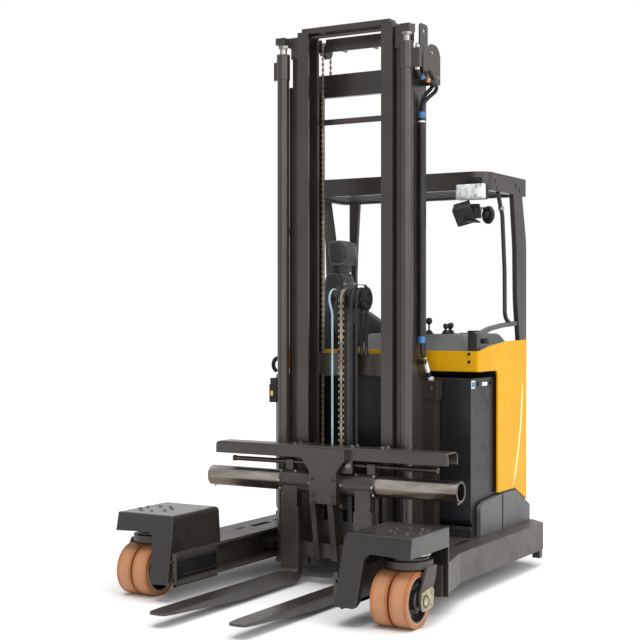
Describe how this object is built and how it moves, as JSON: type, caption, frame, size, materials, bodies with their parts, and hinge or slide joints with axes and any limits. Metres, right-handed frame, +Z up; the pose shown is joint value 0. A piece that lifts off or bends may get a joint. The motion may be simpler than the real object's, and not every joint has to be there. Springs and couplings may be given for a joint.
{
  "type": "reach truck",
  "caption": "Reach truck with steered load wheels, a three-section mast that slides along the legs, a free lift, and two forks hung on a cross tube.",
  "frame": {"origin": "on the floor, in the middle of the plan box", "axes": "+Z up, forks and load wheels towards -Y, the truck's left side +X"},
  "size_m": [1.724, 2.46, 2.996],
  "materials": {
    "mast_paint": "satin",
    "leg_paint": "satin",
    "housing_paint": "gloss",
    "battery_case": "satin",
    "yellow_paint": "gloss",
    "cover_plastic": "satin",
    "dark_metal": "satin",
    "black_plastic": "matte",
    "seat_fabric": "matte",
    "tread": "satin",
    "bare_steel": "satin",
    "lamp": "satin"
  },
  "bodies": {
    "chassis": {"left_leg": "leg_paint", "right_leg": "leg_paint", "left_wheel_housing": "housing_paint", "right_wheel_housing": "housing_paint", "cross_beam": "dark_metal", "reach_cylinder": "dark_metal", "rear_frame": "dark_metal", "bulkhead": "dark_metal", "battery_tray": "dark_metal", "battery": "battery_case", "body_shell": "yellow_paint", "lower_covers": "cover_plastic", "seat_base": "cover_plastic", "seat_cushion": "seat_fabric", "seat_backrest": "seat_fabric", "headrest": "seat_fabric", "power_blocks": "dark_metal", "console": "cover_plastic", "dashboard": "cover_plastic", "levers": "black_plastic", "grab_rail": "dark_metal", "guard_roof": "dark_metal", "guard_posts": "dark_metal", "work_lamps": "lamp"},
    "left_steer": {"left_load_yoke": "mast_paint"},
    "left_wheels": {"left_load_rims": "dark_metal", "left_load_tyres": "tread"},
    "right_steer": {"right_load_yoke": "mast_paint"},
    "right_wheels": {"right_load_rims": "dark_metal", "right_load_tyres": "tread"},
    "drive_steer": {"drive_yoke": "dark_metal"},
    "drive_wheel": {"drive_rim": "dark_metal", "drive_tyre": "tread"},
    "mast_base": {"mast_carriage": "mast_paint", "outer_mast": "mast_paint", "lift_barrels": "mast_paint", "pulley_cover": "mast_paint", "mast_hoses": "black_plastic"},
    "middle_mast": {"mid_mast": "mast_paint", "mid_chain_wheels": "bare_steel", "lift_rods": "bare_steel", "mid_lift_chains": "bare_steel"},
    "upper_mast": {"inner_mast": "mast_paint", "free_barrel": "mast_paint"},
    "free_lift_head": {"crosshead": "mast_paint", "crosshead_wheels": "bare_steel", "free_lift_chain": "bare_steel"},
    "fork_carriage": {"lift_carriage": "mast_paint"},
    "tilt_frame": {"fork_frame": "mast_paint", "fork_tube": "bare_steel", "load_bar": "mast_paint", "spread_screw": "bare_steel"},
    "left_fork_slide": {"left_fork": "mast_paint", "left_sleeve": "mast_paint"},
    "right_fork_slide": {"right_fork": "mast_paint", "right_sleeve": "mast_paint"}
  },
  "joints": [
    {"name": "left_load_steer", "type": "hinge", "parent": "chassis", "child": "left_steer", "pos_m": [0.731, -0.55, 0.32], "axis": [0, 0, 1], "range_deg": [-90, 0]},
    {"name": "left_load_spin", "type": "hinge", "parent": "left_steer", "child": "left_wheels", "pos_m": [0.731, -0.63, 0.13], "axis": [1, 0, 0], "continuous": true},
    {"name": "right_load_steer", "type": "hinge", "parent": "chassis", "child": "right_steer", "pos_m": [-0.731, -0.55, 0.32], "axis": [0, 0, 1], "range_deg": [0, 90]},
    {"name": "right_load_spin", "type": "hinge", "parent": "right_steer", "child": "right_wheels", "pos_m": [-0.731, -0.63, 0.13], "axis": [1, 0, 0], "continuous": true},
    {"name": "drive_steer", "type": "hinge", "parent": "chassis", "child": "drive_steer", "pos_m": [0.2, 0.95, 0.336], "axis": [0, 0, 1], "range_deg": [-90, 90]},
    {"name": "drive_spin", "type": "hinge", "parent": "drive_steer", "child": "drive_wheel", "pos_m": [0.2, 0.95, 0.1715], "axis": [1, 0, 0], "continuous": true},
    {"name": "mast_reach", "type": "slide", "parent": "chassis", "child": "mast_base", "axis": [0, -1, 0], "range_m": [0, 0.56]},
    {"name": "middle_lift", "type": "slide", "parent": "mast_base", "child": "middle_mast", "axis": [0, 0, 1], "range_m": [0, 2.05]},
    {"name": "upper_lift", "type": "slide", "parent": "middle_mast", "child": "upper_mast", "axis": [0, 0, 1], "range_m": [0, 2.05], "deforming": ["mid_lift_chains"]},
    {"name": "head_lift", "type": "slide", "parent": "upper_mast", "child": "free_lift_head", "axis": [0, 0, 1], "range_m": [0, 1], "deforming": ["free_lift_chain"]},
    {"name": "carriage_lift", "type": "slide", "parent": "free_lift_head", "child": "fork_carriage", "axis": [0, 0, 1], "range_m": [0, 1]},
    {"name": "fork_tilt", "type": "hinge", "parent": "fork_carriage", "child": "tilt_frame", "pos_m": [0, 0.088, 0.596], "axis": [1, 0, 0], "range_deg": [-4, 2]},
    {"name": "left_spread", "type": "slide", "parent": "tilt_frame", "child": "left_fork_slide", "axis": [1, 0, 0], "range_m": [0, 0.145]},
    {"name": "right_spread", "type": "slide", "parent": "tilt_frame", "child": "right_fork_slide", "axis": [-1, 0, 0], "range_m": [0, 0.145]}
  ],
  "couplings": [
    {"joint": "upper_lift", "follows": "middle_lift", "ratio": 1},
    {"joint": "carriage_lift", "follows": "head_lift", "ratio": 1},
    {"joint": "right_spread", "follows": "left_spread", "ratio": 1}
  ]
}
